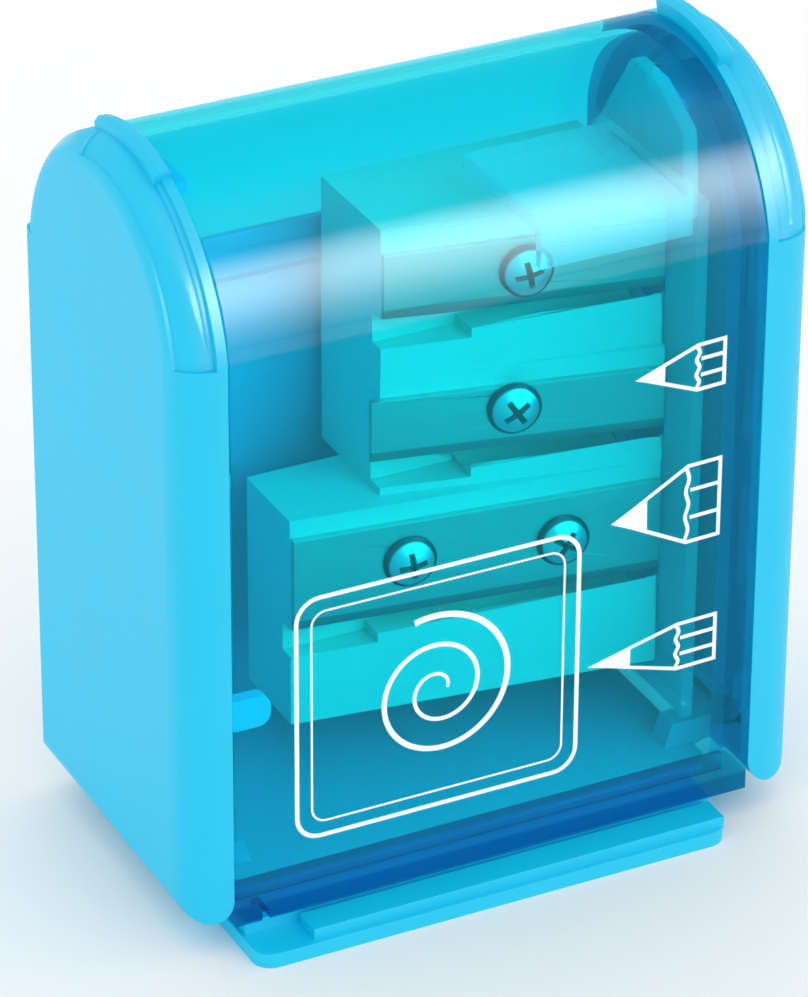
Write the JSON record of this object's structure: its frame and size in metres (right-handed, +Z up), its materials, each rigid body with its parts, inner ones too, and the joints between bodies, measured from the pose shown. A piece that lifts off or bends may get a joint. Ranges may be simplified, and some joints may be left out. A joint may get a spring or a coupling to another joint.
{
  "type": "pencil sharpener",
  "caption": "Hand-held pencil sharpener with a clear arched shavings bin, hinged end doors and sharpening holes for standard, jumbo and long-point pencils.",
  "frame": {"origin": "underside of the base plate, below the middle of the bin, on the table", "axes": "+Z up, +X towards the door over the pencil holes, -Y towards the window"},
  "size_m": [0.0597, 0.0355, 0.072],
  "materials": {
    "sky_blue_plastic": "fine matte texture",
    "clear_blue_plastic": "glossy transparent plastic",
    "aqua_plastic": "smooth moulded",
    "blade_steel": "ground",
    "screw_steel": "nickel plated",
    "pin_steel": "drawn wire",
    "white_ink": "printed"
  },
  "bodies": {
    "bin": {"clear_window": "clear_blue_plastic", "inner_frame": "clear_blue_plastic", "back_wall": "sky_blue_plastic", "base_plate": "sky_blue_plastic", "sharpener_block": "aqua_plastic", "standard_blade": "blade_steel", "jumbo_blade": "blade_steel", "long_point_blade": "blade_steel", "blade_screws": "screw_steel", "block_screws": "screw_steel"},
    "left_door": {"left_door": "sky_blue_plastic", "left_hinge_pin": "pin_steel"},
    "right_door": {"right_door": "sky_blue_plastic", "right_hinge_pin": "pin_steel"}
  },
  "joints": [
    {"name": "left_door_hinge", "type": "hinge", "parent": "bin", "child": "left_door", "pos_m": [-0.02722, 0, 0.00537], "axis": [0, -1, 0], "range_deg": [0, 90]},
    {"name": "right_door_hinge", "type": "hinge", "parent": "bin", "child": "right_door", "pos_m": [0.02778, 0, 0.00537], "axis": [0, 1, 0], "range_deg": [0, 90]}
  ]
}
